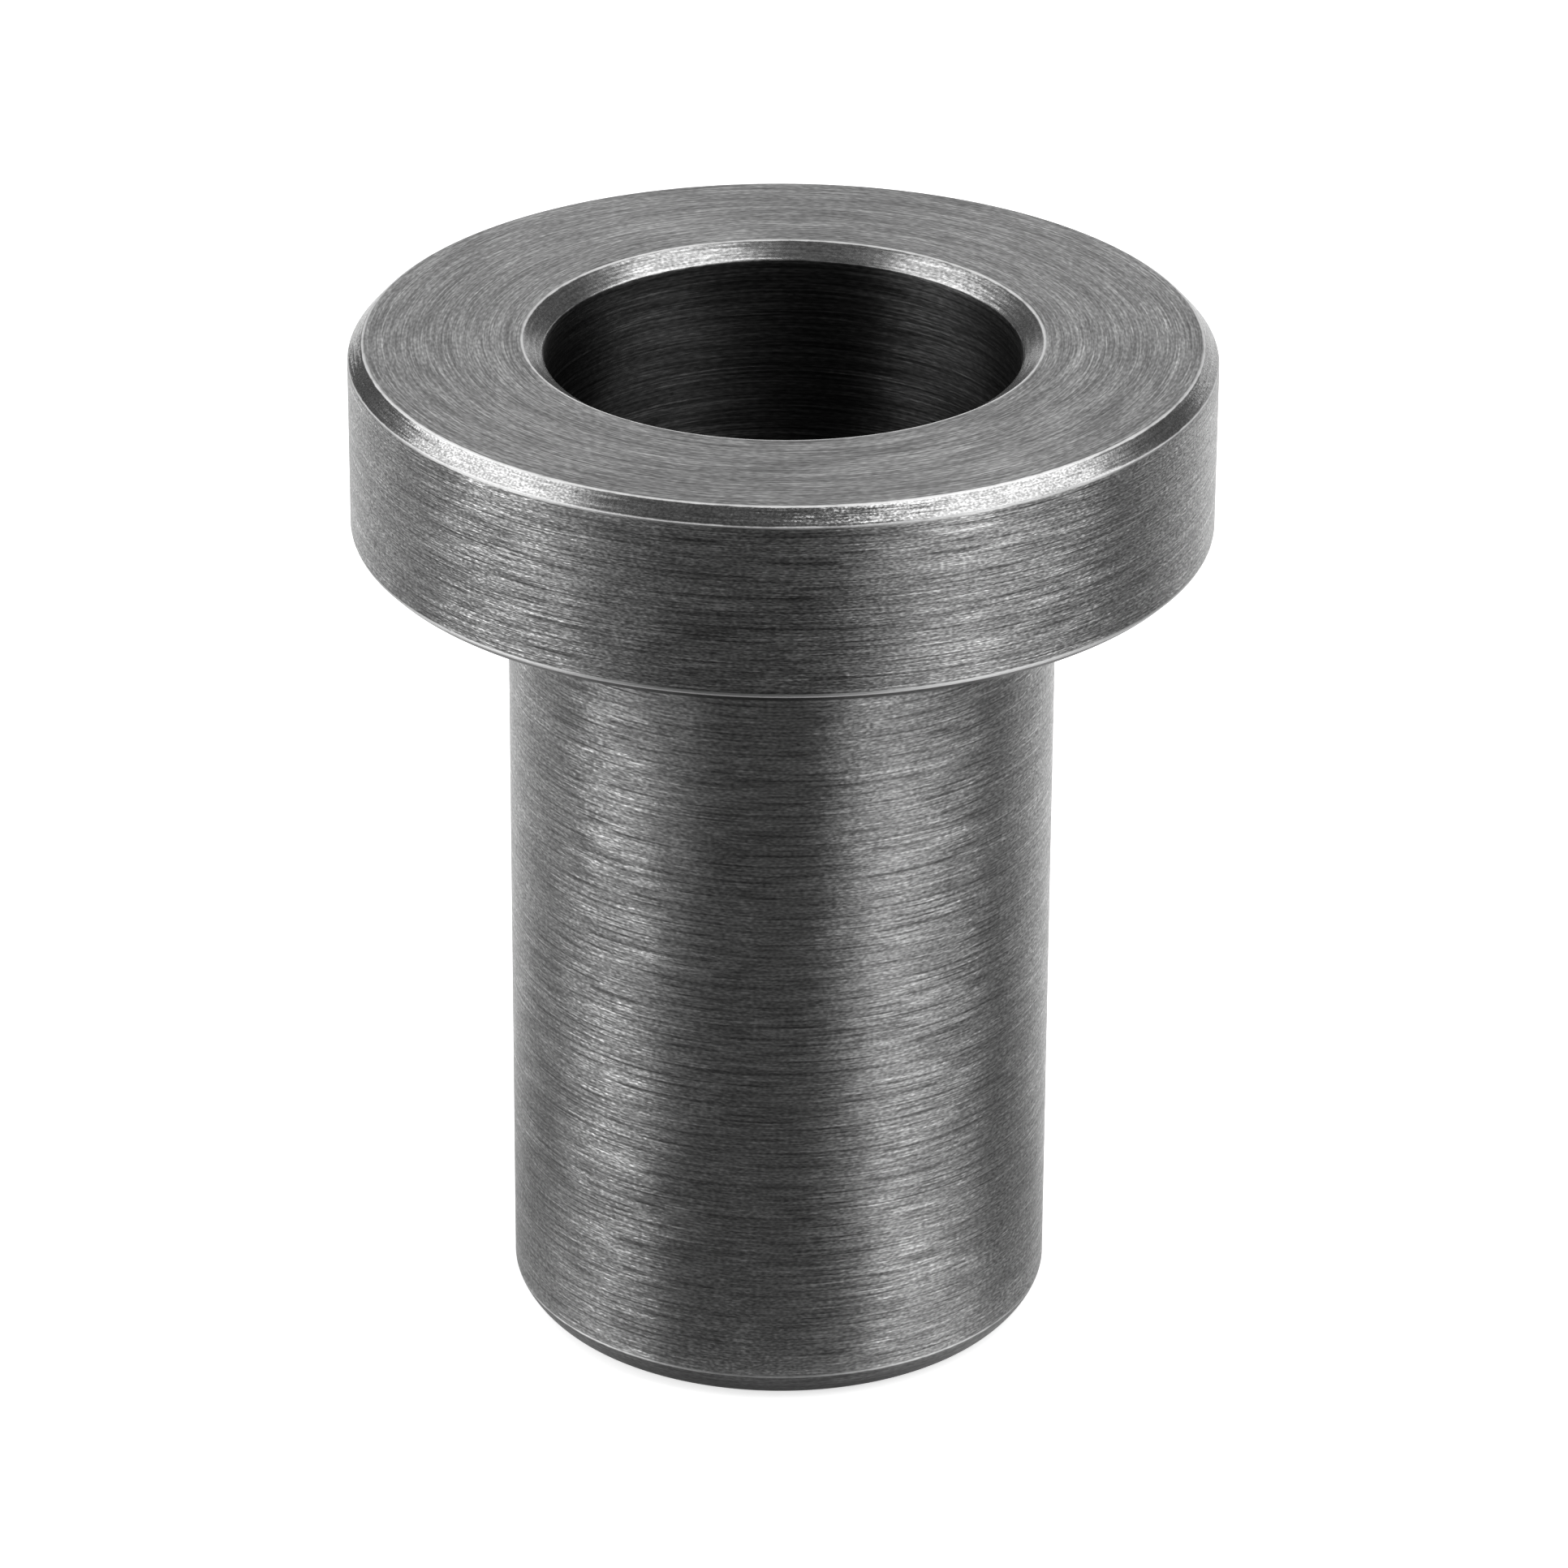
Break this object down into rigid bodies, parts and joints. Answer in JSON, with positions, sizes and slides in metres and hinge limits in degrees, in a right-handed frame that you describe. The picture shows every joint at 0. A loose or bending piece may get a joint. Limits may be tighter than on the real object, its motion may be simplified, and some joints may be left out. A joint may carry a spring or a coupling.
{
  "type": "drill jig bushing",
  "caption": "Headed steel bushing for a drill jig: a thin-walled guide sleeve with a flat round head, a chamfered bore mouth and a tapered lead on its foot.",
  "frame": {"origin": "centre of the foot's end face, on the axis of the bore", "axes": "+Z along the bore axis, from the foot up to the head; the part is round about Z, so X and Y are free"},
  "size_m": [0.0344, 0.0344, 0.0422],
  "materials": {
    "turned_steel": "dark grey turned tool steel, fine circumferential turning lines, bright worn edges, satin"
  },
  "bodies": {
    "root": {"headed_bushing": "turned_steel"}
  },
  "joints": []
}
